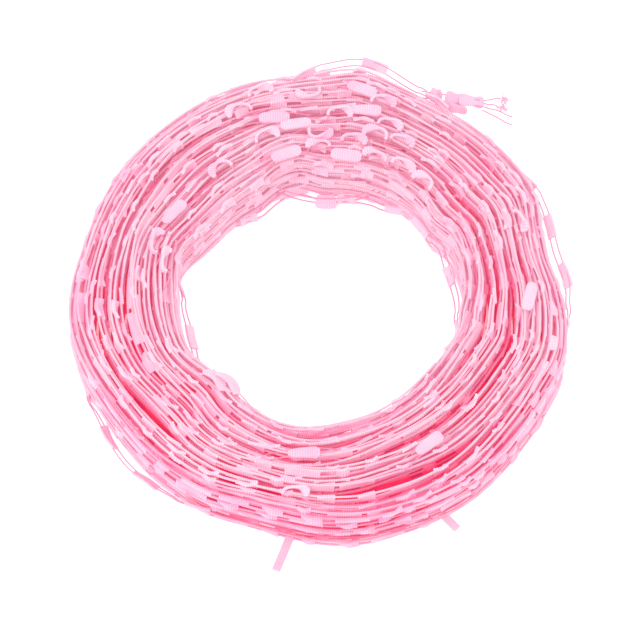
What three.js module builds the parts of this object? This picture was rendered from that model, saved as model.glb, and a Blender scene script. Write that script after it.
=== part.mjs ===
// A hank of flag trim: a narrow trim of two carrier threads with ribbed woven flags along them,
// wound into a ring about 208 mm across that lies on a table. The turns lie in lays, four across
// the band of the ring and three up its height. Flags that buckled stand or lie on top, a few
// turns stray from the wall, two ends poke out on the table, and one end hangs off the rim and
// splays into its threads. Lengths are in millimetres, +Z is up, and the underside is at z = 0.
//
// Everything is laid out first on a true round ring, and slump() then gives it the uneven shape
// of a soft hank, so pieces that clear each other on the round ring also clear each other after.
import * as THREE from 'three';

// Driving sizes.
const rimRadius = 104;
const eyeRadius = 60;
const hankHeight = 30;
const trimWidth = 4.2;
const flagThickness = 1.2;
const flagLength = 12;
const archSpan = 9.5;
const threadDiameter = 0.6;
const layGap = 0.6;
const clearance = 0.5;
const softCorner = 1.5;
const roundedEdge = 4.5;
const ringSteps = 40;
const columns = ['eye', 'inner', 'outer', 'rim'];
const rows = ['bottom', 'middle', 'top'];
const trimPink = { color: 0xffb3d1, roughness: 0.85, metalness: 0 };
const flagPink = { color: 0xffd0e4, roughness: 0.8, metalness: 0 };
const threadPink = { color: 0xf7b9d2, roughness: 0.75, metalness: 0 };

// How far the rim and the eye stray from round: [degrees, share of the radius].
const rimShape = [
  [0, 0.97], [12, 0.93], [30, 0.985], [66, 0.985], [82, 1.035], [95, 1.0], [112, 1.022], [140, 1.01],
  [165, 0.997], [190, 1.028], [218, 0.992], [240, 1.005], [252, 0.99], [275, 1.02], [290, 1.004],
  [306, 1.015], [328, 1.0], [345, 1.014],
];
const eyeShape = [
  [6, 0.985], [27, 0.985], [37, 0.94], [48, 0.975], [75, 0.99], [88, 0.985], [101, 1.05], [121, 0.944],
  [146, 0.942], [165, 1.03], [176, 1.01], [204, 1.03], [226, 0.94], [240, 1.02], [256, 1.055],
  [285, 0.998], [318, 0.937], [330, 0.945], [341, 0.985], [350, 0.965],
];
const heightShape = [[20, 0.98], [75, 1.04], [105, 0.98], [170, 1.02], [215, 0.97], [270, 1.0], [320, 0.96]];
// Where the rim lays part from the rest and the table shows between them.
const splits = [
  { middle: 287, halfSpan: 30, width: 3.4 },
  { middle: 221, halfSpan: 16, width: 2.4 },
];
const rimBoundary = 1 - 1 / columns.length;
const wander = { size: 0.9, waves: 3 };

const radians = THREE.MathUtils.degToRad;
const lerp = THREE.MathUtils.lerp;

// The value of a [degrees, value] list at an angle, smoothly all the way round.
function around(list, degrees) {
  const n = list.length;
  const turned = THREE.MathUtils.euclideanModulo(degrees - list[0][0], 360) + list[0][0];
  let i = n - 1;
  while (i > 0 && list[i][0] > turned) i -= 1;
  const from = list[i];
  const to = list[(i + 1) % n];
  const span = THREE.MathUtils.euclideanModulo(to[0] - from[0], 360);
  return lerp(from[1], to[1], THREE.MathUtils.smoothstep((turned - from[0]) / span, 0, 1));
}

function splitAt(degrees) {
  return splits.reduce((sum, { middle, halfSpan, width }) => {
    const away = Math.abs(THREE.MathUtils.euclideanModulo(degrees - middle + 180, 360) - 180);
    return sum + width * THREE.MathUtils.smoothstep(1 - away / halfSpan, 0, 1);
  }, 0);
}

// Where a point of the round ring lies on the slumped hank.
function slumped(x, y, z) {
  const angle = Math.atan2(y, x);
  const degrees = THREE.MathUtils.radToDeg(angle);
  const share = (Math.hypot(x, y) - eyeRadius) / (rimRadius - eyeRadius);
  const within = THREE.MathUtils.clamp(share, 0, 1);
  const strayed = wander.size * Math.sin(wander.waves * angle) * Math.sin(Math.PI * within);
  const parted = splitAt(degrees) / 2 * (share > rimBoundary ? 1 : -within / rimBoundary);
  const radius = lerp(eyeRadius * around(eyeShape, degrees), rimRadius * around(rimShape, degrees), share)
    + strayed + parted;
  return [radius * Math.cos(angle), radius * Math.sin(angle), z * around(heightShape, degrees)];
}

function slump(geometry, level = null) {
  const position = geometry.getAttribute('position');
  for (let i = 0; i < position.count; i += 1) {
    const [x, y, z] = slumped(position.getX(i), position.getY(i), position.getZ(i));
    position.setXYZ(i, x, y, level === null ? z : position.getZ(i) * level);
  }
  return geometry;
}

function piece(name, geometry, look) {
  const mesh = new THREE.Mesh(geometry, new THREE.MeshStandardMaterial(look));
  mesh.name = name;
  return mesh;
}

// One lay of turns: a closed ring whose section is a rectangle with cut corners.
function lay(column, row) {
  const layWidth = (rimRadius - eyeRadius) / columns.length;
  const layHeight = hankHeight / rows.length;
  const left = eyeRadius + column * layWidth + (column > 0 ? layGap / 2 : 0);
  const right = eyeRadius + (column + 1) * layWidth - (column < columns.length - 1 ? layGap / 2 : 0);
  const low = row * layHeight + (row > 0 ? layGap / 2 : 0);
  const high = (row + 1) * layHeight - (row < rows.length - 1 ? layGap / 2 : 0);
  const onTop = row === rows.length - 1;
  const topLeft = onTop && column === 0 ? roundedEdge : softCorner;
  const topRight = onTop && column === columns.length - 1 ? roundedEdge : softCorner;
  const section = [
    [left + softCorner, low], [right - softCorner, low], [right, low + softCorner],
    [right, high - topRight], [right - topRight, high], [left + topLeft, high],
    [left, high - topLeft], [left, low + softCorner], [left + softCorner, low],
  ].map(([r, z]) => new THREE.Vector2(r, z));
  const ring = new THREE.LatheGeometry(section, ringSteps).rotateX(Math.PI / 2);
  return piece(`${columns[column]}_lay_${rows[row]}`, slump(ring), trimPink);
}

// A point of the round ring.
const onRing = (degrees, radius) =>
  new THREE.Vector2(radius * Math.cos(radians(degrees)), radius * Math.sin(radians(degrees)));

// A strip of trim seen from above: its middle line given as points, its width across that line,
// and its depth upwards from floorZ. Its faces stay level, over the highest turn under it.
function strip(name, line, width, floorZ, depth, look = flagPink) {
  const side = (sign) => line.map((point, i) => {
    const before = line[Math.max(i - 1, 0)];
    const after = line[Math.min(i + 1, line.length - 1)];
    const along = after.clone().sub(before).normalize();
    return new THREE.Vector2(point.x + sign * along.y * width / 2, point.y - sign * along.x * width / 2);
  });
  const outline = new THREE.Shape([...side(1), ...side(-1).reverse()]);
  const solid = new THREE.ExtrudeGeometry(outline, { depth, bevelEnabled: false });
  const level = Math.max(...line.map((point) => around(heightShape, THREE.MathUtils.radToDeg(point.angle()))));
  return piece(name, slump(solid.translate(0, 0, floorZ), level), look);
}

// The middle line of a length of trim that bows away from its turn by bow, outwards if positive.
function bowedLine(degrees, radius, length, bow, steps) {
  return Array.from({ length: steps + 1 }, (_, i) => {
    const t = 2 * i / steps - 1;
    const away = bow * Math.cos(Math.PI * t / 2) ** 2;
    return onRing(degrees + THREE.MathUtils.radToDeg(t * length / 2 / radius), radius + away);
  });
}

// The middle line of a flag that buckled into an arch over span. It bulges out if bow is positive.
function archLine(degrees, radius, span, bow, steps) {
  return Array.from({ length: steps + 1 }, (_, i) => {
    const turn = Math.PI * (i / steps - 0.5);
    const along = THREE.MathUtils.radToDeg(Math.sin(turn) * span / 2 / radius);
    return onRing(degrees + along, radius + bow * Math.cos(turn));
  });
}

// Flags that buckled into arches on top of the hank, standing on edge:
// [degrees, share of the way from the eye to the rim, bow].
const archedFlags = [
  [113.5, 0.62, 5], [106.5, 0.76, 3.8], [93.7, 0.78, -4], [84.9, 0.42, 5], [109.2, 0.27, 4.5],
  [91, 0.33, -4.5], [73.2, 0.64, 4.5], [69, 0.44, 4.5], [72, 0.28, 5.5], [78.8, 0.165, 4.2],
  [91.5, 0.09, 3.8], [69.3, 0.07, 3.6], [128.6, 0.2, 5], [58.3, 0.1, 4], [48.6, 0.07, 4.5],
  [63.2, 0.33, 4], [164.6, 0.19, 4.5], [171.1, 0.07, 4], [263.2, 0.84, -4], [20, 0.66, 4],
];
// Flags that lie face up on top: [degrees, share of the way from the eye to the rim].
const flatFlags = [
  [98.5, 0.385], [104, 0.07], [80.9, 0.055], [79.8, 0.76], [77.5, 0.56], [104.5, 0.5], [152, 0.27],
  [264.4, 0.37], [300.4, 0.6], [356.2, 0.65],
];

const hank = new THREE.Group();

columns.forEach((_, column) => rows.forEach((_, row) => hank.add(lay(column, row))));

const topOfHank = hankHeight + clearance;
archedFlags.forEach(([degrees, share, bow], i) => {
  const line = archLine(degrees, lerp(eyeRadius, rimRadius, share), archSpan, bow, 9);
  hank.add(strip(`arched_flag_${i + 1}`, line, flagThickness, topOfHank, trimWidth));
});
flatFlags.forEach(([degrees, share], i) => {
  const line = bowedLine(degrees, lerp(eyeRadius, rimRadius, share), flagLength, 0, 4);
  hank.add(strip(`flat_flag_${i + 1}`, line, trimWidth, topOfHank, flagThickness));
});

// Turns that stray from the walls of the hank: [name, degrees, radius, length, bow, height].
const strayTurns = [
  ['stray_turn_rim_right', 12, rimRadius + 1.5, 62, 3.2, 0.62 * hankHeight],
  ['stray_turn_rim_left', 220, rimRadius + 1.5, 62, 2.0, 0.1 * hankHeight],
  ['stray_turn_rim_back', 78, rimRadius + 1.5, 48, 1.4, 0.82 * hankHeight],
  ['stray_turn_eye_right', 14, eyeRadius - 1.5, 44, -3.0, 0.35 * hankHeight],
  ['stray_turn_eye_left', 196, eyeRadius - 1.5, 40, -2.6, 0.3 * hankHeight],
  ['stray_turn_eye_back', 91, eyeRadius - 1.5, 58, -1.6, 0.04 * hankHeight],
];
const strayRise = 0.35 * threadDiameter; // the lowest one stays just clear of the table
strayTurns.forEach(([name, degrees, radius, length, bow, height]) => {
  const line = bowedLine(degrees, radius, length, bow, 12);
  hank.add(strip(name, line, flagThickness, Math.max(height, strayRise), trimWidth, trimPink));
});

// A flag that hangs low in the eye from the stray turn at the back.
const hangingAt = eyeRadius - 4.8;
hank.add(strip('eye_back_flag', bowedLine(88.5, hangingAt, 0.8 * flagLength, 0, 4),
  flagThickness, strayRise, 1.5 * trimWidth));

// A flag that lies over the edge of the eye, on the front left.
hank.add(strip('eye_edge_flag', [onRing(227.5, eyeRadius + 7.5), onRing(229, eyeRadius - 4)],
  2 * trimWidth, topOfHank, flagThickness));

// The two ends of flags that poke out on the table from under the rim: [name, degrees, reach, lean].
const tableTabs = [['front_tab_left', 261.8, 14.5, -0.8], ['front_tab_right', 299, 4.5, -0.3]];
tableTabs.forEach(([name, degrees, reach, lean]) => {
  const line = [onRing(degrees, rimRadius + clearance), onRing(degrees + lean, rimRadius + reach)];
  hank.add(strip(name, line, trimWidth, 0, flagThickness));
});

// A closed round tube along points chosen by hand, which stay as they are when sizes change.
function tube(name, points, diameter, sides, steps, look) {
  const route = new THREE.CatmullRomCurve3(points.map((p) => new THREE.Vector3(...p)));
  const section = new THREE.Shape(Array.from({ length: sides }, (_, i) => {
    const a = 2 * Math.PI * i / sides;
    return new THREE.Vector2(Math.cos(a) * diameter / 2, Math.sin(a) * diameter / 2);
  }));
  return piece(name, new THREE.ExtrudeGeometry(section, { steps, extrudePath: route }), look);
}

// The loose end: the trim leaves the back of the rim at tailRoot with its last flags bunched up,
// and four of its threads stick out beyond them and droop a little.
const tailRoot = slumped(...onRing(62.5, rimRadius + trimWidth / 2 + 2 * clearance).toArray(), 0.83 * hankHeight);
const bunchedFlags = [[0, 0, 0], [5, -0.2, -0.3], [10, -0.6, -0.9], [15, -1.0, -2], [19.5, -1.6, -3.4]];
const looseThreads = [
  [[20.6, -0.4, -3.0], [24, 1.4, -4.6], [28.2, 3.0, -7]],
  [[21, -1.4, -3.6], [24.4, -1.0, -5.4], [27.8, -0.6, -8]],
  [[21, -2.6, -4.4], [27.2, -2.2, -8.6], [33.7, -1.9, -14]],
  [[20.4, -3.8, -5.2], [27, -4.2, -11], [33.7, -4.1, -18]],
];
const fromRoot = (points) => points.map((p) => p.map((value, k) => value + tailRoot[k]));
hank.add(tube('end_flags', fromRoot(bunchedFlags), 1.3 * trimWidth, 8, 10, flagPink));
looseThreads.forEach((points, i) => {
  hank.add(tube(`loose_thread_${i + 1}`, fromRoot(points), threadDiameter, 6, 8, threadPink));
});

// The frayed tufts that end two of the threads.
const tuftRadius = 1.5;
[0, 1].forEach((thread, i) => {
  const [[x, y, z]] = fromRoot([looseThreads[thread].at(-1)]);
  const tuft = new THREE.SphereGeometry(tuftRadius, 8, 6).scale(1.2, 1, 0.8);
  tuft.translate(x + 1.2 * tuftRadius + threadDiameter, y, z);
  hank.add(piece(`thread_tuft_${i + 1}`, tuft, flagPink));
});

// The origin is the middle of the underside of the whole hank.
const box = new THREE.Box3().setFromObject(hank);
hank.position.set(-(box.min.x + box.max.x) / 2, -(box.min.y + box.max.y) / 2, -box.min.z);

export default hank;
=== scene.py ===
import math
import bpy
import numpy as np
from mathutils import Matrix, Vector


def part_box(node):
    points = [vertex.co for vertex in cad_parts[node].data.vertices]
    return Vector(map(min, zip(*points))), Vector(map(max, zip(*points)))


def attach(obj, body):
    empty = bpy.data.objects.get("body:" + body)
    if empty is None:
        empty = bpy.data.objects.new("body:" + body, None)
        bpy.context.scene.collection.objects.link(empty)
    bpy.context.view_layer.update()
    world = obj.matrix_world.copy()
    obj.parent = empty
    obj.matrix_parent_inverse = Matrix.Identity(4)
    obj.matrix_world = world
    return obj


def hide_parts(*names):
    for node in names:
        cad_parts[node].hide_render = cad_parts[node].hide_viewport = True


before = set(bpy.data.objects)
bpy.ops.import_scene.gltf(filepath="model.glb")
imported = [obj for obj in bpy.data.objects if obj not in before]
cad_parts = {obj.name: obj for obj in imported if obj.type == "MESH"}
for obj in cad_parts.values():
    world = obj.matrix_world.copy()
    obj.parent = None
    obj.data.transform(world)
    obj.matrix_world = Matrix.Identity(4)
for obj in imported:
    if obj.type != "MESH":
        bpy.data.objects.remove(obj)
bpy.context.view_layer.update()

random = np.random.default_rng(41)
columns = ("eye", "inner", "outer", "rim")
rows = ("bottom", "middle", "top")

# Camera: over the front of the hank, looking down on it.
cameraSettings = {
    "elevation": 63.0, "distance": 1.5, "lens": 200.0,
    "slideRight": -0.00127, "slideUp": -0.00527,  # of the aim, from the middle of the hank
}
print("hank: camera")
hankMiddle = Vector((0.00103, 0.00143, 0.0129))  # of the round ring that the hank slumped from
hankCentre = np.array(hankMiddle)[:2]
lift = math.radians(cameraSettings["elevation"])
backward = Vector((0, -math.cos(lift), math.sin(lift)))
upward = Vector((0, math.sin(lift), math.cos(lift)))
aim = hankMiddle + Vector((cameraSettings["slideRight"], 0, 0)) + upward * cameraSettings["slideUp"]
camera = bpy.data.objects.new("camera", bpy.data.cameras.new("camera"))
camera.data.lens = cameraSettings["lens"]
camera.data.clip_start, camera.data.clip_end = 0.01, 20
camera.location = aim + backward * cameraSettings["distance"]
camera.rotation_euler = (-backward).to_track_quat("-Z", "Y").to_euler()
bpy.context.scene.collection.objects.link(camera)
bpy.context.scene.camera = camera


# Materials come before the pieces, because the trees that wind the trim hand them out.
def addNode(tree, kind, inputs=None, **settings):
    node = tree.nodes.new(kind)
    for name, value in settings.items():
        setattr(node, name, value)
    for name, value in (inputs or {}).items():
        if isinstance(value, bpy.types.NodeSocket):
            tree.links.new(value, node.inputs[name])
        else:
            node.inputs[name].default_value = value
    return node


yarn = {
    "grainSize": 3000.0, "patchSize": 60.0, "patchShift": 0.14, "grainTone": (0.93, 1.03),
    "roughness": (0.6, 0.9), "reliefDepth": 0.00015, "sheenRoughness": 0.4, "specular": 0.2,
}


def weaveGroup():
    # fine yarn grain and slow dye variation, shared by all the finishes
    group = bpy.data.node_groups.new("yarnGrain", "ShaderNodeTree")
    for name, value in (("Grain Size", yarn["grainSize"]), ("Patch Size", yarn["patchSize"])):
        socket = group.interface.new_socket(name=name, in_out="INPUT", socket_type="NodeSocketFloat")
        socket.default_value = value
    for name in ("Grain", "Patches", "Height"):
        group.interface.new_socket(name=name, in_out="OUTPUT", socket_type="NodeSocketFloat")
    given = group.nodes.new("NodeGroupInput")
    place = addNode(group, "ShaderNodeTexCoord").outputs["Object"]
    grain = addNode(group, "ShaderNodeTexNoise",
                    {"Vector": place, "Scale": given.outputs["Grain Size"], "Detail": 2.0, "Roughness": 0.6})
    patches = addNode(group, "ShaderNodeTexNoise",
                      {"Vector": place, "Scale": given.outputs["Patch Size"], "Detail": 3.0})
    cells = addNode(group, "ShaderNodeTexVoronoi", {"Vector": place, "Scale": given.outputs["Grain Size"]})
    height = addNode(group, "ShaderNodeMath", {0: grain.outputs["Fac"], 1: cells.outputs["Distance"]},
                     operation="SUBTRACT")
    addNode(group, "NodeGroupOutput", {"Grain": grain.outputs["Fac"], "Patches": patches.outputs["Fac"],
                                       "Height": height.outputs[0]})
    return group


yarnGrain = weaveGroup()


def clothMaterial(name, look):
    # painted shade: pale where the hank is open and deep pink inside it, by the depth that each piece
    # carries, for the shade and red light passed between threads inside the hank
    material = bpy.data.materials.new(name)
    material.use_nodes = True
    tree = material.node_tree
    surface = tree.nodes["Principled BSDF"]
    grain = addNode(tree, "ShaderNodeGroup", node_tree=yarnGrain)
    grain.inputs["Grain Size"].default_value = look["grainSize"]
    depth = addNode(tree, "ShaderNodeAttribute", attribute_name="depth").outputs["Fac"]
    shade = addNode(tree, "ShaderNodeValToRGB")
    stops = shade.color_ramp.elements
    stops[0].position, stops[0].color = 0.0, (*look["pale"], 1)
    stops[1].position, stops[1].color = 1.0, (*look["deep"], 1)
    for place, colour in ((0.3, look["pink"]), (0.65, look["rose"])):
        stops.new(place).color = (*colour, 1)
    spots = addNode(tree, "ShaderNodeMapRange",
                    {"Value": grain.outputs["Patches"], "From Min": 0.3, "From Max": 0.7,
                     "To Min": -yarn["patchShift"], "To Max": yarn["patchShift"]})
    both = addNode(tree, "ShaderNodeMath", {0: depth, 1: spots.outputs[0]}, operation="ADD", use_clamp=True)
    tree.links.new(both.outputs[0], shade.inputs["Fac"])
    # painted shade of ribs across the trim, darker and redder in the grooves, from the distance along it that
    # the threads carry
    along = addNode(tree, "ShaderNodeAttribute", attribute_name="along").outputs["Fac"]
    beat = addNode(tree, "ShaderNodeMath", {0: along, 1: 2 * math.pi / look["ribPitch"]},
                   operation="MULTIPLY")
    rib = addNode(tree, "ShaderNodeMath", {0: beat.outputs[0]}, operation="COSINE")
    ribTone = addNode(tree, "ShaderNodeMapRange", {"Value": rib.outputs[0], "From Min": -1.0,
                                                   "To Min": 1 - look["ribTone"], "To Max": 1.0})
    lighter = addNode(tree, "ShaderNodeMapRange",
                      {"Value": grain.outputs["Grain"], "From Min": 0.3, "From Max": 0.7,
                       "To Min": yarn["grainTone"][0], "To Max": yarn["grainTone"][1]})
    tone = addNode(tree, "ShaderNodeMath", {0: ribTone.outputs[0], 1: lighter.outputs[0]},
                   operation="MULTIPLY")
    spread = addNode(tree, "ShaderNodeCombineColor",
                     {"Red": 1.0, "Green": tone.outputs[0], "Blue": tone.outputs[0]})
    toned = addNode(tree, "ShaderNodeMix", data_type="RGBA", blend_type="MULTIPLY")
    toned.inputs["Factor"].default_value = 1.0
    for source, socket in ((shade.outputs["Color"], toned.inputs[6]),
                           (spread.outputs["Color"], toned.inputs[7]),
                           (toned.outputs[2], surface.inputs["Base Color"])):
        tree.links.new(source, socket)
    # painted light: a glow that stands in for light passing from thread to thread keeps the inside of the
    # hank red, and lifts the shade on pale parts
    glow = addNode(tree, "ShaderNodeMix", data_type="RGBA")
    glow.inputs[6].default_value = (*look["glowPale"], 1)
    glow.inputs[7].default_value = (*look["glowDeep"], 1)
    tree.links.new(both.outputs[0], glow.inputs["Factor"])
    tree.links.new(glow.outputs[2], surface.inputs["Emission Color"])
    surface.inputs["Emission Strength"].default_value = 1.0
    dull = addNode(tree, "ShaderNodeMapRange",
                   {"Value": grain.outputs["Grain"],
                    "To Min": yarn["roughness"][0], "To Max": yarn["roughness"][1]})
    tree.links.new(dull.outputs["Result"], surface.inputs["Roughness"])
    ridge = addNode(tree, "ShaderNodeMath",
                    {0: rib.outputs[0], 1: look["ribHeight"], 2: grain.outputs["Height"]},
                    operation="MULTIPLY_ADD")
    relief = addNode(tree, "ShaderNodeBump", {"Strength": look["bump"], "Distance": yarn["reliefDepth"],
                                              "Height": ridge.outputs[0]})
    tree.links.new(relief.outputs["Normal"], surface.inputs["Normal"])
    surface.inputs["Sheen Weight"].default_value = look["sheen"]
    surface.inputs["Sheen Roughness"].default_value = yarn["sheenRoughness"]
    surface.inputs["Specular IOR Level"].default_value = yarn["specular"]
    return material


print("hank: materials")
# painted shade: the colours run from pale at the open faces of the hank to deep red well inside it, and the
# glow colours are painted light passed between threads
flagLook = {
    "pale": (0.83, 0.605, 0.735), "pink": (0.81, 0.485, 0.655),
    "rose": (0.79, 0.26, 0.46), "deep": (0.77, 0.07, 0.22),
    "glowPale": (0.15, 0.088, 0.112), "glowDeep": (0.34, 0.012, 0.050),
    "grainSize": 2600.0, "ribPitch": 0.0010, "ribTone": 0.2, "ribHeight": 0.6, "bump": 0.4, "sheen": 0.2,
}
# the winding cord's painted shade runs darker inside the hank, with less painted glow
cordLook = {
    **flagLook, "pink": (0.79, 0.45, 0.64), "rose": (0.75, 0.26, 0.46), "deep": (0.64, 0.09, 0.25),
    "glowDeep": (0.22, 0.012, 0.050), "ribPitch": 0.0009, "ribTone": 0.34,
}
# painted shade: the threads are a darker mauve than the flags, as they lie in shadow between the flags; the
# loose threads use it too
threadLook = {
    **flagLook, "pale": (0.74, 0.34, 0.52), "pink": (0.70, 0.28, 0.46), "ribPitch": 0.0007, "ribTone": 0.3,
}
finishes = {
    "trim": clothMaterial("windingCord", cordLook),
    "flags": clothMaterial("flagCloth", flagLook),
    "thread": clothMaterial("flagThread", threadLook),
    "carrier_thread": clothMaterial("looseThread", {**threadLook, "grainSize": 4200.0}),
}


# A woven flag: a strip with ribs across it, along any line. across is the way its width points,
# and its width and thickness are one number each or one for each point of the line.
def ribbedStrip(line, across, width, thickness, ribPitch, corners=4, edgeDip=0.06, crestDip=0.25):
    line, across = np.asarray(line, float), np.asarray(across, float)
    along = np.concatenate([[0], np.cumsum(np.linalg.norm(np.diff(line, axis=0), axis=1))])
    ribs = max(2, round(along[-1] / ribPitch))
    at = np.linspace(0, along[-1], 2 * ribs + 1)
    middle = np.stack([np.interp(at, along, line[:, k]) for k in range(3)], 1)
    wide = np.stack([np.interp(at, along, across[:, k]) for k in range(3)], 1)
    ahead = np.gradient(middle, axis=0)
    ahead /= np.linalg.norm(ahead, axis=1)[:, None]
    wide -= ahead * (wide * ahead).sum(1)[:, None]
    wide /= np.linalg.norm(wide, axis=1)[:, None]
    thick = np.cross(ahead, wide)
    groove = (np.arange(len(at)) % 2 == 0).astype(float)
    widths, thicknesses = (np.interp(at, along, np.broadcast_to(size, len(line)))
                           for size in (width, thickness))
    halfWide = widths / 2 * (1 - edgeDip * groove)
    halfThick = thicknesses / 2 * (1 - crestDip * groove)
    if corners == 4:
        ring = [(1, 1), (-1, 1), (-1, -1), (1, -1)]
    else:  # an edge that is rounded over
        ring = [(1, 0.45), (0.84, 1), (-0.84, 1), (-1, 0.45),
                (-1, -0.45), (-0.84, -1), (0.84, -1), (1, -0.45)]
    points = np.stack([middle + wide * (halfWide * a)[:, None] + thick * (halfThick * b)[:, None]
                       for a, b in ring], 1).reshape(-1, 3)
    n, faces = len(ring), []
    for i in range(len(at) - 1):
        for k in range(n):
            faces.append((i * n + k, (i + 1) * n + k, (i + 1) * n + (k + 1) % n, i * n + (k + 1) % n))
    faces.append(tuple(range(n)))
    faces.append(tuple(reversed(range((len(at) - 1) * n, len(at) * n))))
    # half a pitch on, so that the painted rib shade leaves the crests light and darkens the grooves
    return points, faces, np.repeat((np.arange(len(at)) + 1) * flagLook["ribPitch"] / 2, n)


def roundThread(line, diameter, sides=6):
    line = np.asarray(line, float)
    ahead = np.gradient(line, axis=0)
    ahead /= np.linalg.norm(ahead, axis=1)[:, None]
    side = np.cross(ahead, (0.1, 0.2, 0.97))
    side /= np.linalg.norm(side, axis=1)[:, None]
    over = np.cross(ahead, side)
    turn = 2 * np.pi * np.arange(sides) / sides
    points = (line[:, None] + diameter / 2 * (np.cos(turn)[None, :, None] * side[:, None]
                                             + np.sin(turn)[None, :, None] * over[:, None])).reshape(-1, 3)
    faces = [(i * sides + k, i * sides + (k + 1) % sides,
              (i + 1) * sides + (k + 1) % sides, (i + 1) * sides + k)
             for i in range(len(line) - 1) for k in range(sides)]
    faces.append(tuple(reversed(range(sides))))
    faces.append(tuple(range((len(line) - 1) * sides, len(line) * sides)))
    along = np.concatenate([[0], np.cumsum(np.linalg.norm(np.diff(line, axis=0), axis=1))])
    return points, faces, np.repeat(along, sides)


def meshObject(name, parts, finishNames, depth=0.0):
    # one mesh from several closed shells, each with the place of its finish among the names
    mesh = bpy.data.meshes.new(name)
    points, faces, slots, alongs, start = [], [], [], [], 0
    for (partPoints, partFaces, partAlong), index in parts:
        points.append(partPoints)
        faces += [tuple(start + i for i in face) for face in partFaces]
        slots += [index] * len(partFaces)
        alongs.append(partAlong)
        start += len(partPoints)
    mesh.from_pydata(np.concatenate(points).tolist(), [], faces)
    for finishName in finishNames:
        mesh.materials.append(finishes[finishName])
    mesh.polygons.foreach_set("material_index", slots)
    # every point gets the one painted shade given for the whole piece, and its distance along
    for attribute, values in (("depth", np.full(start, depth)), ("along", np.concatenate(alongs))):
        mesh.attributes.new(attribute, "FLOAT", "POINT").data.foreach_set("value", values.astype(np.float32))
    mesh.update()
    return bpy.data.objects.new(name, mesh)


trim = {
    "width": 0.0040, "threadDiameter": 0.00105, "threadOffset": 0.00145, "thinThread": 0.0006,
    "flagPitch": 0.0165, "strayPitch": 0.022, "bareEnd": 0.006, "pathStep": 0.004,
    "flagLength": 0.0128, "flagWidth": 0.0031, "flagThickness": 0.0009,
    "bulgeLength": 0.0080, "bulgeWidth": 0.0038, "bulgeThickness": 0.0016,
    "strayLength": 0.0110, "strayWidth": 0.0046, "strayThickness": 0.0011,
}
flagShapes = (  # share of the usual length, bow, twist, and whether it bulges out from between its threads
    (1.0, 0.0003, 0.0, False), (1.1, 0.0002, 0.1, False), (0.7, 0.0008, 0.15, True),
    (0.9, 0.0, 0.25, True), (1.05, 0.0005, 0.2, False), (1.15, -0.0003, -0.1, False),
    (0.8, 0.0005, -0.3, True), (1.1, 0.0010, 0.45, True),
)


def flagShape(name, share, bow, twist, kind, detailed):
    # a flag along X that is thick along Y and wide along Z
    length, width, thickness = (trim[kind + size] for size in ("Length", "Width", "Thickness"))
    t = np.linspace(-1, 1, 15)
    line = np.stack([t * length * share / 2, bow * np.cos(np.pi * t / 2) ** 2 - bow / 3, 0 * t], 1)
    across = np.stack([0 * t, np.sin(twist * t), np.cos(twist * t)], 1)
    pitch = flagLook["ribPitch"] if detailed else length / 2
    strip = ribbedStrip(line, across, width, thickness, pitch,
                        edgeDip=0.08 if detailed else 0, crestDip=0.3 if detailed else 0)
    return meshObject(name, [(strip, 0)], ["flags"])


def flagCollection(name):
    # all the shapes of flag for one use: plain ones inside the hank, ribbed ones, and wide ones on strays
    shapes = bpy.data.collections.new(name)
    for i, (share, bow, twist, bulges) in enumerate(flagShapes):
        kind = "stray" if name == "strayFlag" else "bulge" if bulges else "flag"
        shapes.objects.link(flagShape(f"{name}{i}", share, bow, twist, kind, name != "plainFlag"))
    return shapes


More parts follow.
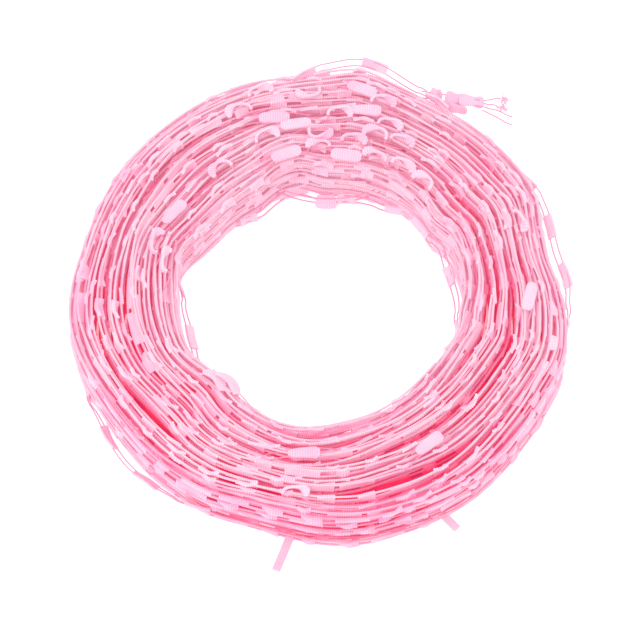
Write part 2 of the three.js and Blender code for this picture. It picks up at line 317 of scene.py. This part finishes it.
# The tree that makes trim along a path: two carrier threads, and flags woven between them.
def trimTree():
    tree = bpy.data.node_groups.new("trimAlongPath", "GeometryNodeTree")
    sockets = (("Geometry", "NodeSocketGeometry"), ("Thread Diameter", "NodeSocketFloat"),
               ("Thread Offset", "NodeSocketFloat"), ("Thread Sides", "NodeSocketInt"),
               ("Flag Pitch", "NodeSocketFloat"), ("Flags", "NodeSocketCollection"),
               ("Seed", "NodeSocketInt"), ("Bare Share", "NodeSocketFloat"),
               ("Thread Material", "NodeSocketMaterial"))
    for name, kind in sockets:
        tree.interface.new_socket(name=name, in_out="INPUT", socket_type=kind)
    tree.interface.new_socket(name="Geometry", in_out="OUTPUT", socket_type="NodeSocketGeometry")
    given = tree.nodes.new("NodeGroupInput").outputs
    roll = addNode(tree, "GeometryNodeInputNamedAttribute", {"Name": "roll"}, data_type="FLOAT").outputs[0]
    curve = addNode(tree, "GeometryNodeMeshToCurve", {"Mesh": given["Geometry"]})
    upright = addNode(tree, "GeometryNodeSetCurveNormal", {"Curve": curve.outputs[0]}, mode="Z_UP")
    rolled = addNode(tree, "GeometryNodeSetCurveTilt", {"Curve": upright.outputs[0], "Tilt": roll})
    measured = addNode(tree, "GeometryNodeSplineParameter").outputs["Length"]
    marked = addNode(tree, "GeometryNodeStoreNamedAttribute",
                     {"Geometry": rolled.outputs[0], "Name": "along", "Value": measured}, data_type="FLOAT")
    ahead = addNode(tree, "GeometryNodeInputTangent").outputs[0]
    normal = addNode(tree, "GeometryNodeInputNormal").outputs[0]
    wide = addNode(tree, "ShaderNodeVectorMath", {0: ahead, 1: normal}, operation="CROSS_PRODUCT")
    profile = addNode(tree, "GeometryNodeCurvePrimitiveCircle", {"Resolution": given["Thread Sides"]})
    radius = addNode(tree, "ShaderNodeMath", {0: given["Thread Diameter"], 1: 0.5}, operation="MULTIPLY")
    tree.links.new(radius.outputs[0], profile.inputs["Radius"])
    joined = tree.nodes.new("GeometryNodeJoinGeometry")
    for sign in (-1.0, 1.0):
        away = addNode(tree, "ShaderNodeMath", {0: given["Thread Offset"], 1: sign}, operation="MULTIPLY")
        shift = addNode(tree, "ShaderNodeVectorMath", {0: wide.outputs[0]}, operation="SCALE")
        tree.links.new(away.outputs[0], shift.inputs["Scale"])
        moved = addNode(tree, "GeometryNodeSetPosition",
                        {"Geometry": marked.outputs[0], "Offset": shift.outputs[0]})
        thread = addNode(tree, "GeometryNodeCurveToMesh",
                         {"Curve": moved.outputs[0], "Profile Curve": profile.outputs[0], "Fill Caps": True})
        dyed = addNode(tree, "GeometryNodeSetMaterial",
                       {"Geometry": thread.outputs[0], "Material": given["Thread Material"]})
        tree.links.new(dyed.outputs[0], joined.inputs[0])
    lastShare = addNode(tree, "ShaderNodeMath", {0: 1.0, 1: given["Bare Share"]}, operation="SUBTRACT")
    flagged = addNode(tree, "GeometryNodeTrimCurve", {"Curve": rolled.outputs[0]}, mode="FACTOR")
    tree.links.new(given["Bare Share"], flagged.inputs[2])  # its ends as shares of the length
    tree.links.new(lastShare.outputs[0], flagged.inputs[3])
    places = addNode(tree, "GeometryNodeCurveToPoints",
                     {"Curve": flagged.outputs[0], "Length": given["Flag Pitch"]}, mode="LENGTH")
    shapes = addNode(tree, "GeometryNodeCollectionInfo",
                     {"Collection": given["Flags"], "Separate Children": True, "Reset Children": True})
    pick = addNode(tree, "FunctionNodeRandomValue", {"Seed": given["Seed"]}, data_type="INT")
    pick.inputs[4].default_value, pick.inputs[5].default_value = 0, len(flagShapes) - 1
    turned = addNode(tree, "FunctionNodeAxesToRotation", primary_axis="X", secondary_axis="Y")
    tree.links.new(places.outputs["Tangent"], turned.inputs[0])
    tree.links.new(places.outputs["Normal"], turned.inputs[1])
    flags = addNode(tree, "GeometryNodeInstanceOnPoints",
                    {"Points": places.outputs["Points"], "Instance": shapes.outputs[0], "Pick Instance": True,
                     "Instance Index": pick.outputs[2], "Rotation": turned.outputs[0]})
    real = addNode(tree, "GeometryNodeRealizeInstances", {"Geometry": flags.outputs[0]})
    tree.links.new(real.outputs[0], joined.inputs[0])
    addNode(tree, "NodeGroupOutput", {"Geometry": joined.outputs[0]})
    return tree


trimNodes = trimTree()
flagSets = {name: flagCollection(name) for name in ("ribbedFlag", "plainFlag", "strayFlag")}


def setInputs(modifier, values):
    for item in modifier.node_group.interface.items_tree:
        if item.item_type == "SOCKET" and item.in_out == "INPUT" and item.name in values:
            modifier[item.identifier] = values[item.name]


def pathLength(path):
    return float(np.linalg.norm(np.diff(path, axis=0), axis=1).sum())


def trimPiece(name, path, roll, seed, flags="ribbedFlag"):
    # trim wound along a path, made by the tree and kept as a plain mesh
    mesh = bpy.data.meshes.new(name)
    mesh.from_pydata(path.tolist(), [(i, i + 1) for i in range(len(path) - 1)], [])
    mesh.attributes.new("roll", "FLOAT", "POINT").data.foreach_set("value", roll.astype(np.float32))
    piece = bpy.data.objects.new(name, mesh)
    bpy.context.scene.collection.objects.link(piece)
    winding = piece.modifiers.new("trim", "NODES")
    winding.node_group = trimNodes
    stray = flags == "strayFlag"
    setInputs(winding, {
        "Thread Diameter": trim["thinThread" if stray else "threadDiameter"],
        "Thread Offset": trim["threadOffset"], "Thread Sides": 4 if flags == "plainFlag" else 6,
        "Flag Pitch": trim["strayPitch" if stray else "flagPitch"], "Flags": flagSets[flags], "Seed": seed,
        "Bare Share": trim["bareEnd"] / pathLength(path),
        "Thread Material": finishes["thread" if stray else "trim"]})
    shown = piece.evaluated_get(bpy.context.evaluated_depsgraph_get())
    whole = bpy.data.meshes.new_from_object(shown, preserve_all_data_layers=True,
                                            depsgraph=bpy.context.evaluated_depsgraph_get())
    piece.modifiers.remove(winding)
    piece.data = whole
    whole.name = name
    paintShadeByDepth(piece)
    return piece


# How deep in the hank each point of a piece lies: 0 at its open faces, 1 well inside, kept as its amount of
# painted shade.
def paintShadeByDepth(piece):
    mesh = piece.data
    places = np.empty(len(mesh.vertices) * 3)
    mesh.vertices.foreach_get("co", places)
    places = places.reshape(-1, 3)
    fromMiddle = places[:, :2] - hankCentre
    turns = np.arctan2(fromMiddle[:, 1], fromMiddle[:, 0]) / (2 * np.pi)
    eyeWall, rimWall, topHeight = (np.interp(turns, *wall, period=1.0) for wall in walls)
    radius = np.hypot(*fromMiddle.T)
    below = (topHeight - places[:, 2]) / paintedShadeRange["down"]
    backShare = 0.5 + 0.5 * fromMiddle[:, 1] / radius
    fromEye = (radius - eyeWall) / paintedShadeRange["in"] + paintedShadeRange["eyeSkin"]
    fromRim = (rimWall - radius) / paintedShadeRange["in"] + paintedShadeRange["rimSkin"]
    # painted shade: the rim is redder towards the front
    fromRim += paintedShadeRange["front"] * (1 - backShare) ** 2
    depth = np.clip(np.minimum(np.minimum(below, fromEye), fromRim), 0, 1)
    # painted light: all is paler towards the back
    depth *= 1 - paintedShadeRange["back"] * backShare ** 2
    shade = mesh.attributes.get("depth") or mesh.attributes.new("depth", "FLOAT", "POINT")
    shade.data.foreach_set("value", depth.astype(np.float32))


def nodePoints(node):
    return np.array([v.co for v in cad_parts[node].data.vertices])


# The section of a lay at every station round the ring: inner point, outer point, low and high.
def layStations(node):
    places = np.unique(np.round(nodePoints(node), 6), axis=0)
    fromMiddle = places[:, :2] - hankCentre
    angle, radius = np.arctan2(fromMiddle[:, 1], fromMiddle[:, 0]), np.hypot(*fromMiddle.T)
    order = np.argsort(angle)
    ends = np.flatnonzero(np.diff(angle[order], append=angle[order][0] + 2 * np.pi) > math.radians(3)) + 1
    # the last group may be cut in two at half a turn, so the first gap starts the count
    order = np.roll(order, -ends[0])
    groups = np.split(order, (ends[1:] - ends[0]))
    stations = []
    for group in groups:
        near, far = group[np.argmin(radius[group])], group[np.argmax(radius[group])]
        heights = places[group, 2]
        stations.append((*places[near, :2], *places[far, :2], heights.min(), heights.max()))
    return np.array(stations)


def wallRound(node, pick):
    # one measure of a lay against the share of a turn round the hank
    stations = layStations(node)
    fromMiddle = stations[:, 2:4] - hankCentre
    turns = np.arctan2(fromMiddle[:, 1], fromMiddle[:, 0]) / (2 * np.pi)
    order = np.argsort(turns)
    return turns[order], pick(stations)[order]


paintedShadeRange = {
    "down": 0.0108, "in": 0.0085,  # metres from a face to full painted shade
    "eyeSkin": -0.22, "rimSkin": -0.06,  # painted shade at the walls themselves; the lower it is, the paler the walls
    "front": 0.3, "back": 0.7,  # painted shade that makes the rim redder in front, and painted light that makes all paler at the back
}
walls = (
    wallRound("eye_lay_middle", lambda s: np.hypot(*(s[:, :2] - hankCentre).T)),
    wallRound("rim_lay_middle", lambda s: np.hypot(*(s[:, 2:4] - hankCentre).T)),
    wallRound("inner_lay_top", lambda s: s[:, 5]),
)


def smoothBetween(p, f):
    # the share f of the way from the second to the third of four points, on a smooth curve
    return p[1] + 0.5 * f * (p[2] - p[0] + f * (
        2 * p[0] - 5 * p[1] + 4 * p[2] - p[3] + f * (3 * (p[1] - p[2]) + p[3] - p[0])))


def smoothRound(values, turns):
    # values spaced evenly round a closed loop, read smoothly at any number of turns
    t = (turns % 1) * len(values)
    i, f = np.floor(t).astype(int), (t % 1)[:, None]
    return smoothBetween([values[(i + k) % len(values)] for k in (-1, 0, 1, 2)], f)


def smoothNoise(t, frequencies):
    # a slow wavering line from -1 to 1
    phases = random.uniform(0, 2 * np.pi, len(frequencies))
    waves = np.array([np.sin(2 * np.pi * f * t + p) for f, p in zip(frequencies, phases)])
    return waves.sum(0) / math.sqrt(len(frequencies)) / 1.4


def smoothStep(t):
    t = np.clip(t, 0, 1)
    return t * t * (3 - 2 * t)


lays = {
    "across": 5, "levels": 2,  # turns side by side and over each other in one lay
    "crossing": 0.16,  # share of a turn in which the trim moves over to its next place
    "sideWander": 0.00045, "sharedWander": 0.0009, "heightWander": 0.0010, "topWander": 0.0012,
    "roll": 0.4, "topRoll": 0.5, "flipsPerTurn": 0.5, "flipLength": 0.030, "flipLift": 0.0012,
    "slack": 1.026, "moveSpread": 0.35, "openEnd": 0.02, "cornerDrop": 0.0045, "cornerShare": 0.75,
}


def windLay(node, column, row):
    # the path of one lay's turns, and the roll of the trim along it
    stations = layStations(node)
    across, levels = lays["across"], lays["levels"]
    places = np.array([(k if level % 2 == 0 else across - 1 - k, level)
                       for level in range(levels) for k in range(across)], float)
    turnCount = len(places)
    middles = np.diff(stations[:, :2] + stations[:, 2:4], axis=0)
    aroundLength = np.linalg.norm(middles, axis=1).sum() / 2 * lays["slack"]
    steps = int(turnCount * aroundLength / trim["pathStep"])
    t = np.linspace(0, turnCount - lays["openEnd"], steps)
    u, v = np.full(steps, places[0, 0]), np.full(steps, places[0, 1])
    moves = np.arange(1, turnCount) + random.uniform(-lays["moveSpread"], lays["moveSpread"], turnCount - 1)
    for k, moment in enumerate(moves):
        share = smoothStep((t - moment) / lays["crossing"] + 0.5)
        u += (places[k + 1, 0] - places[k, 0]) * share
        v += (places[k + 1, 1] - places[k, 1]) * share
    ring = smoothRound(stations, t + random.uniform(0, 1))
    inner, outer, low, high = ring[:, :2], ring[:, 2:4], ring[:, 4], ring[:, 5]
    bandWidth = np.linalg.norm(outer - inner, axis=1)
    side = (u + 0.5) / across
    turnAngle = np.arctan2(*(inner - hankCentre).T[::-1])
    shared = np.sin(3 * turnAngle + 1.3 * column) + 0.7 * np.sin(7 * turnAngle - column + 0.5 * v)
    wander = smoothNoise(t, (1.3, 2.1, 3.7, 5.3)) * lays["sideWander"] + shared * lays["sharedWander"] / 1.7
    keepIn = np.ones(steps)  # the faces of the rim and of the eye stay where they are
    if column == 0:
        keepIn = smoothStep(side * 2 + 0.35)
    elif column == len(columns) - 1:
        keepIn = smoothStep((1 - side) * 2 + 0.35)
    side = side + wander / bandWidth * keepIn
    halfWidth = trim["width"] / 2
    height = low + halfWidth + (high - low - 2 * halfWidth) * (v / (levels - 1))
    topmost = smoothStep(v - levels + 2) if row == "top" else 0 * v
    height += smoothNoise(t, (1.7, 2.9, 4.3)) * (lays["heightWander"] + topmost * lays["topWander"])
    if row == "top" and column in (0, len(columns) - 1):
        fromCorner = side if column == 0 else 1 - side
        cornerShare = lays["cornerShare"]
        height -= lays["cornerDrop"] * smoothStep((cornerShare - fromCorner) / cornerShare) * v / (levels - 1)
    roll = smoothNoise(t, (2.3, 3.9, 6.7)) * (lays["roll"] + topmost * (lays["topRoll"] - lays["roll"]))
    if row == "top":  # here and there the trim turns over and lies on its face
        for moment in random.uniform(turnCount - across, turnCount, int(lays["flipsPerTurn"] * across)):
            bump = np.exp(-((t - moment) * aroundLength / lays["flipLength"] * 2) ** 2)
            roll += bump * random.choice((-1, 1)) * random.uniform(0.7, 1.5)
            height += bump * lays["flipLift"]
    height = np.maximum(height, halfWidth + 0.0001)
    flat = inner + (outer - inner) * side[:, None]
    return np.concatenate([flat, height[:, None]], 1), roll


def addTrimCord(piece, node):
    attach(piece, "root")
    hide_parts(node)


print("hank: winding the lays")
cordLengths = {}
for column, columnName in enumerate(columns):
    for row in rows:
        path, roll = windLay(f"{columnName}_lay_{row}", column, row)
        name = f"{columnName}Lay{row.capitalize()}"
        hiddenLay = columnName in ("inner", "outer") and row != "top"
        flags = "plainFlag" if hiddenLay else "ribbedFlag"
        piece = trimPiece(name, path, roll, column * 10 + rows.index(row), flags)
        addTrimCord(piece, f"{columnName}_lay_{row}")
        cordLengths[name] = round(pathLength(path), 3)

# Turns that stray from the walls, along the middle line of their strips.
strays = {"run": 0.012, "sink": 0.0035, "roll": 0.8, "pathStep": 0.001, "floorGap": 0.0002}


def stripLine(node):
    # the middle points of a strip that runs round the hank, in order
    places = nodePoints(node)
    fromMiddle = places[:, :2] - hankCentre
    middleAngle = math.atan2(*fromMiddle.mean(0)[::-1])
    angle = (np.arctan2(fromMiddle[:, 1], fromMiddle[:, 0]) - middleAngle + np.pi) % (2 * np.pi) - np.pi
    order = np.argsort(angle)
    cuts = np.flatnonzero(np.diff(angle[order]) > math.radians(1)) + 1
    line = [(places[group].min(0) + places[group].max(0)) / 2 for group in np.split(order, cuts)]
    return np.array(line)


def smoothLine(points, step):
    # the points evenly along a smooth curve through the given ones
    points = np.asarray(points, float)
    knots = np.concatenate([[0], np.cumsum(np.linalg.norm(np.diff(points, axis=0), axis=1))])
    padded = np.concatenate([[2 * points[0] - points[1]], points, [2 * points[-1] - points[-2]]])
    at = np.linspace(0, knots[-1], max(3, int(knots[-1] / step) + 1))
    i = np.clip(np.searchsorted(knots, at, side="right") - 1, 0, len(points) - 2)
    f = ((at - knots[i]) / (knots[i + 1] - knots[i]))[:, None]
    return smoothBetween([padded[i + k] for k in range(4)], f)


print("hank: stray turns")
for node in sorted(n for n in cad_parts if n.startswith("stray_turn")):
    line = stripLine(node)
    intoRing = 1 if "_eye_" in node else -1
    ends = []
    for end, nextOne in ((line[0], line[1]), (line[-1], line[-2])):
        ahead = (end - nextOne) / np.linalg.norm(end - nextOne)
        outward = np.array([*(end[:2] - hankCentre), 0])
        outward /= np.linalg.norm(outward)
        ends.append(end + ahead * strays["run"] + outward * intoRing * strays["sink"])
    path = smoothLine([ends[0], *line, ends[1]], strays["pathStep"])
    path[:, 2] = np.maximum(path[:, 2], trim["width"] / 2 + strays["floorGap"])
    words = node.split("_")
    name = words[0] + "".join(w.capitalize() for w in words[1:])
    roll = strays["roll"] * np.sin(np.linspace(0, 3, len(path)))
    piece = trimPiece(name, path, roll, len(cordLengths), "strayFlag")
    addTrimCord(piece, node)
    cordLengths[name] = round(pathLength(path), 3)
print("hank: metres of trim in each cord", cordLengths)


# Single flags on top of the hank, at its edges and on the table.
flagSizes = {
    "width": 0.0052, "length": 0.0130, "thickness": 0.0017, "threadDiameter": 0.00055,
    "thinLeg": 0.0023, "thickLeg": 0.0038, "lean": 0.45, "twist": 1.35, "leg": 0.0045, "legDrop": 0.0042,
    "flatDrop": 0.003, "spanShare": 0.86, "bowShare": 0.95, "crownLift": 0.0009, "footDrop": 0.0006,
}


def finishFlag(name, parts, nodes, depth=0.0):
    # the last argument is one amount of painted shade for the whole piece
    piece = meshObject(name, parts, ("flags", "thread"), depth)
    bpy.context.scene.collection.objects.link(piece)
    for face in piece.data.polygons:
        face.use_smooth = False
    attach(piece, "root")
    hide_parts(*nodes)
    return piece


def localAxes(places):
    # the outward and the sideways way on the ring, at the middle of some points
    middle = (places.min(0) + places.max(0)) / 2
    outward = np.array([*(middle[:2] - hankCentre), 0])
    outward /= np.linalg.norm(outward)
    return middle, outward, np.array([-outward[1], outward[0], 0])


def archedFlag(node):
    # an arch that leans towards the eye, with one foot turned to show its face
    places = nodePoints(node)
    middle, outward, sideways = localAxes(places)
    side, out = (places - middle) @ sideways, (places - middle) @ outward
    halfSpan = np.abs(side).max()
    crown = out[np.abs(side) < 0.35 * halfSpan].mean()
    feet = out[np.abs(side) > 0.75 * halfSpan].mean()
    bow = crown - feet
    turn = np.linspace(-math.pi / 2, math.pi / 2, 21) * random.uniform(0.94, 1.0)
    skew = random.uniform(-0.25, 0.25)
    base = middle + outward * (feet + (0.1 * bow)) + np.array([0, 0, -flagSizes["footDrop"]])
    line = [base + sideways * (np.sin(a) + skew * np.cos(a) ** 2) * halfSpan * flagSizes["spanShare"]
            + outward * bow * flagSizes["bowShare"] * max(math.cos(a), 0) ** 0.8
            + np.array([0, 0, flagSizes["crownLift"]]) * math.cos(a) for a in turn]
    line[0], line[-1] = (line[0] - outward * np.sign(bow) * 0.001, line[-1] - outward * np.sign(bow) * 0.001)
    share = np.linspace(0, 1, len(line))
    handed = random.choice((-1, 1), p=(0.25, 0.75)) * (1 if outward[1] > 0 else -1)
    if handed > 0:  # sideways is to the left at the back of the hank
        share = share[::-1]
    swell = smoothStep((share - 0.42) / 0.4)
    twist = flagSizes["twist"] * swell
    lean = -outward * flagSizes["lean"] * np.sign(outward[1] + 0.3) + np.array([0, 0, 1])
    ahead = np.gradient(np.array(line), axis=0)
    ahead /= np.linalg.norm(ahead, axis=1)[:, None]
    across = []
    for k, way in enumerate(ahead):
        flat = np.cross(way, lean)
        across.append(lean / np.linalg.norm(lean) * math.cos(twist[k])
                      + flat / np.linalg.norm(flat) * math.sin(twist[k]) * handed)
    rounded = np.sqrt(np.clip(1 - ((share - 0.84) / 0.17).clip(0, 1) ** 2, 0.2, 1))
    widths = (flagSizes["thinLeg"] + (flagSizes["thickLeg"] - flagSizes["thinLeg"]) * swell) * rounded
    thicknesses = flagSizes["thickness"] * (0.8 + 0.4 * swell) * rounded
    strip = ribbedStrip(line, across, widths, thicknesses, flagLook["ribPitch"], 8)
    legs = []
    sink = np.array([0, 0, -1])
    for foot, way in ((line[0], -ahead[0]), (line[-1], ahead[-1])):
        away = sideways * np.sign((foot - middle) @ sideways) * flagSizes["leg"]
        points = [foot, foot + way * 0.0012 + sink * 0.0012, foot + way * 0.001 + sink * 0.0026 + away * 0.6,
                  foot + sink * flagSizes["legDrop"] + away * 1.6]
        legs.append((roundThread(smoothLine(points, 0.0008), flagSizes["threadDiameter"]), 1))
    return [(strip, 0), *legs]


def endRounding(t, start=0.8):
    # the share of its width that a flag keeps towards its ends, at -1 and 1
    past = ((np.abs(t) - start) / (1.02 - start)).clip(0, 1)
    return np.sqrt(np.clip(1 - past ** 2, 0.3, 1))


def flatFlag(node, arch=0.0006, tail=0.009):
    # a flag on its face between its two threads, which dive back between the turns
    middle, outward, sideways = localAxes(nodePoints(node))
    yaw = random.uniform(-0.22, 0.22)
    ahead = sideways * math.cos(yaw) + outward * math.sin(yaw)
    across = np.cross((0, 0, 1), ahead)
    t = np.linspace(-1, 1, 17)
    tilt = random.uniform(-0.3, 0.3)
    half = flagSizes["length"] / 2
    line = middle + ahead * (t * half)[:, None] + np.array([0, 0, 1]) * (arch * (1 - t ** 2))[:, None]
    ways = [across * math.cos(tilt + 0.25 * x) + np.array([0, 0, 1]) * math.sin(tilt + 0.25 * x) for x in t]
    width = flagSizes["width"] * endRounding(t, 0.7) * (1 + 0.12 * t * random.uniform(-1, 1))
    strip = ribbedStrip(line, ways, width, flagSizes["thickness"], flagLook["ribPitch"], 8)
    threads = []
    for sign in (-1, 1):
        edge = line + np.array(ways) * sign * flagSizes["width"] * 0.4
        tails = [edge[0] - ahead * tail + (0, 0, -flagSizes["flatDrop"]),
                 edge[0] - ahead * tail * 0.4 + (0, 0, -0.3 * flagSizes["flatDrop"])]
        heads = [edge[-1] + ahead * tail * 0.4 + (0, 0, -0.3 * flagSizes["flatDrop"]),
                 edge[-1] + ahead * tail + (0, 0, -flagSizes["flatDrop"])]
        threadPath = smoothLine([*tails, *edge[::4], *heads], 0.0009)
        threads.append((roundThread(threadPath, flagSizes["threadDiameter"]), 1))
    return [(strip, 0), *threads]


print("hank: single flags")
# each single flag gets a random amount of painted shade
for node in sorted(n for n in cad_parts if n.startswith("arched_flag")):
    finishFlag("archedFlag" + node.split("_")[-1], archedFlag(node), [node], random.uniform(0.0, 0.12))
for node in sorted(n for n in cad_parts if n.startswith("flat_flag")):
    finishFlag("flatFlag" + node.split("_")[-1], flatFlag(node), [node], random.uniform(0.04, 0.22))


edgeStrips = (  # place along the edge and outward from it, drop, length, width and tilt
    (0.0010, -0.0006, 0.0010, 0.0125, 0.0060, 0.75), (-0.0035, 0.0026, 0.0000, 0.0110, 0.0052, 1.05),
)


def edgeFlag():
    # two flags bulging from the front left edge of the eye, with a thread that hugs the wall beside them
    middle, outward, sideways = localAxes(nodePoints("eye_edge_flag"))
    upright = np.array([0, 0, 1])
    parts = []
    for slide, away, drop, length, width, tilt in edgeStrips:
        t = np.linspace(-1, 1, 17)
        line = np.array([middle + sideways * (slide + x * length / 2) + outward * (away + 0.0026 * x * x)
                         - upright * (drop + 0.0012 * x) for x in t])
        ways = [upright * math.cos(tilt + 0.2 * x) + outward * math.sin(tilt + 0.2 * x) for x in t]
        widths = width * endRounding(t, 0.5)
        parts.append((ribbedStrip(line, ways, widths, 0.0016, flagLook["ribPitch"], 8), 0))
    run = np.linspace(-1, 1, 9)
    points = [middle + sideways * (0.004 + 0.017 * x) + outward * (0.0030 * x * x + 0.0004) - upright * 0.003
              for x in run]
    parts.append((roundThread(smoothLine(points, 0.001), flagSizes["threadDiameter"]), 1))
    return parts


hanging = {
    "halfLength": 0.0044, "width": 0.0062, "thickness": 0.0013, "bow": 0.0006,
    "threadRun": 0.026, "threadShare": 0.3,  # how far the threads run each way, and their share of the height
}


def hangingFlag():
    # face to the eye, low on its far wall, on two threads that run round the wall
    places = nodePoints("eye_back_flag")
    middle, outward, sideways = localAxes(places)
    height = places[:, 2].max() - places[:, 2].min()
    t = np.linspace(-1, 1, 13)
    line = np.array([middle + sideways * hanging["halfLength"] * a - outward * hanging["bow"] * (1 - a * a)
                     for a in t])
    tipped = outward * 0.75 + np.array([0, 0, 0.66])
    widths = hanging["width"] * endRounding(t)
    strip = ribbedStrip(line, [tipped] * 13, widths, hanging["thickness"], flagLook["ribPitch"], 8)
    threads = []
    for level in (-hanging["threadShare"], hanging["threadShare"]):
        points = [middle + sideways * x - outward * (0.0001 - 7.0 * x * x)
                  + np.array([0, 0, level * height + 8 * x * x])
                  for x in np.linspace(-hanging["threadRun"], hanging["threadRun"], 11)]
        threads.append((roundThread(smoothLine(points, 0.0012), flagSizes["threadDiameter"]), 1))
    return [(strip, 0), *threads]


tab = {"width": 0.0036, "thickness": 0.0012, "hidden": 0.006, "wave": 0.0004, "lowest": 0.0007}


def tableTab(node, heading, reach):
    # a square-cut end of the trim, flat on the table
    middle, _, _ = localAxes(nodePoints(node))
    ahead = np.array([math.cos(math.radians(heading)), math.sin(math.radians(heading)), 0])
    start = middle - ahead * (reach / 2 + tab["hidden"])
    line = np.array([start + ahead * (reach + tab["hidden"]) * a + (0, 0, tab["wave"] * math.sin(5 * a))
                     for a in np.linspace(0, 1, 13)])
    line[:, 2] = np.maximum(line[:, 2], tab["lowest"])
    across = np.cross((0, 0, 1), ahead)
    strip = ribbedStrip(line, [across] * 13, tab["width"], tab["thickness"], flagLook["ribPitch"], 8)
    return [(strip, 0)]


# the last numbers are the painted shade of each piece
finishFlag("eyeEdgeFlag", edgeFlag(), ["eye_edge_flag"])
finishFlag("eyeBackFlag", hangingFlag(), ["eye_back_flag"], 0.1)
finishFlag("frontTabLeft", tableTab("front_tab_left", 249.0, 0.0150), ["front_tab_left"], 0.12)
finishFlag("frontTabRight", tableTab("front_tab_right", 312.0, 0.0085), ["front_tab_right"], 0.12)


# The free end: crumpled flags against the rim, four bare threads and their tufts.
freeEnd = {
    "threadDiameter": 0.0006, "inset": 0.0027, "thickness": 0.0013, "wave": 0.0006, "threadOffset": 0.0014,
    "fibres": 70, "fibre": 0.00026, "fibreLength": 0.0021,
}
endShapes = (  # where each flag starts and ends along the end of the trim, its drop, width and turn
    (-0.10, 0.13, 0.0010, 0.0050, 0.15), (0.20, 0.62, -0.0002, 0.0066, 0.1),
    (0.50, 1.02, 0.0004, 0.0050, -0.15), (0.26, 0.66, -0.0040, 0.0042, 0.5),
)


def endFlags():
    # flags bunched up along the end of the trim, faces up
    low, high = (np.array(corner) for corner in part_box("end_flags"))
    inset = freeEnd["inset"]
    start = np.array([low[0], high[1] - inset, high[2] - inset])
    end = np.array([high[0], low[1] + inset, low[2] + inset])
    facing = np.array([0, math.sin(lift), math.cos(lift)])
    parts = []
    for first, last, drop, width, turn in endShapes:
        t = np.linspace(first, last, 15)
        share = (t - first) / (last - first)
        wave = np.sin(share * math.pi * 2) * freeEnd["wave"]
        line = np.array([start + (end - start) * a + facing * drop + backward * w for a, w in zip(t, wave)])
        ways = [facing * math.cos(turn + 0.3 * x) + backward * math.sin(turn + 0.3 * x) for x in share]
        widths = width * endRounding(2 * share - 1) * (1 + 0.12 * np.sin(share * 9))
        parts.append((ribbedStrip(line, ways, widths, freeEnd["thickness"], flagLook["ribPitch"], 8), 0))
    for side in (-freeEnd["threadOffset"], freeEnd["threadOffset"]):
        points = [start + (end - start) * a + facing * side for a in np.linspace(-0.3, 1, 12)]
        parts.append((roundThread(smoothLine(points, 0.0012), flagSizes["threadDiameter"]), 1))
    return parts


def threadLine(node):
    # the middle line of a tube that runs along X
    places = nodePoints(node)
    order = places[np.argsort(places[:, 0])]
    groups = np.array_split(order, 8)
    line = np.array([g.mean(0) for g in groups])
    line[0] = line[0] * 1.35 - line[1] * 0.35
    return line


def looseThread(node, seed):
    line = smoothLine(threadLine(node), 0.0008)
    waver = np.linspace(0, 1, len(line))
    line[:, 1] += 0.00035 * np.sin(waver * 9 + seed) * waver
    line[:, 2] += 0.0003 * np.sin(waver * 7 + 2 * seed) * waver
    return line


def tuft(node):
    # short fibres that spray from the end of a thread
    low, high = (np.array(corner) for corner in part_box(node))
    root = np.array([low[0], (low[1] + high[1]) / 2, (low[2] + high[2]) / 2])
    parts = []
    for _ in range(freeEnd["fibres"]):
        way = np.array([0.7, 0, 0]) + random.normal(0, 0.55, 3)
        way /= np.linalg.norm(way)
        long = freeEnd["fibreLength"] * random.uniform(0.7, 1.5)
        bend = random.normal(0, 0.3, 3) * long
        points = [root, root + way * long * 0.5 + bend * 0.3, root + way * long + bend]
        parts.append((roundThread(smoothLine(points, 0.0006), freeEnd["fibre"], 4), 0))
    return parts


print("hank: free end")
# 0.16 is the painted shade of the end flags
finishFlag("endFlags", endFlags(), ["end_flags"], 0.16)
for k in range(1, 5):
    line = looseThread(f"loose_thread_{k}", k)
    thread = roundThread(line, freeEnd["threadDiameter"], 8)
    piece = meshObject(f"looseThread{k}", [(thread, 0)], ["carrier_thread"])
    bpy.context.scene.collection.objects.link(piece)
    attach(piece, "root")
    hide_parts(f"loose_thread_{k}")
for k in (1, 2):
    finishFlag(f"threadTuft{k}", tuft(f"thread_tuft_{k}"), [f"thread_tuft_{k}"])

# Floor and light.
print("hank: floor and light")
studio = {"floor": 3.0, "floorDrop": 0.0002, "floorGlow": 0.35, "world": 0.95}
lamps = {"key": ((-0.5, -0.4, 1.2), 0.8, 6.0), "fill": ((0.8, 0.6, 1.0), 1.0, 3.0)}  # place, size and power
floorMesh = bpy.data.meshes.new("floor")
half, level = studio["floor"] / 2, -studio["floorDrop"]
floorCorners = [(-half, -half, level), (half, -half, level), (half, half, level), (-half, half, level)]
floorMesh.from_pydata(floorCorners, [], [(0, 1, 2, 3)])
floor = bpy.data.objects.new("floor", floorMesh)
floorPaint = bpy.data.materials.new("floorPaint")
floorPaint.use_nodes = True
paint = floorPaint.node_tree.nodes["Principled BSDF"].inputs
paint["Base Color"].default_value = (0.95, 0.95, 0.95, 1)
paint["Roughness"].default_value = 0.9
paint["Emission Color"].default_value = (1, 1, 1, 1)
paint["Emission Strength"].default_value = studio["floorGlow"]
floorMesh.materials.append(floorPaint)
bpy.context.scene.collection.objects.link(floor)
world = bpy.data.worlds.new("studio")
bpy.context.scene.world = world
world.use_nodes = True
world.node_tree.nodes["Background"].inputs["Color"].default_value = (1, 1, 1, 1)
world.node_tree.nodes["Background"].inputs["Strength"].default_value = studio["world"]
for name, (place, size, power) in lamps.items():
    light = bpy.data.objects.new(name, bpy.data.lights.new(name, "AREA"))
    light.data.size, light.data.energy = size, power
    light.location = place
    light.rotation_euler = (Vector(place) - hankMiddle).to_track_quat("Z", "Y").to_euler()
    bpy.context.scene.collection.objects.link(light)
bpy.context.scene.view_settings.view_transform = "Standard"
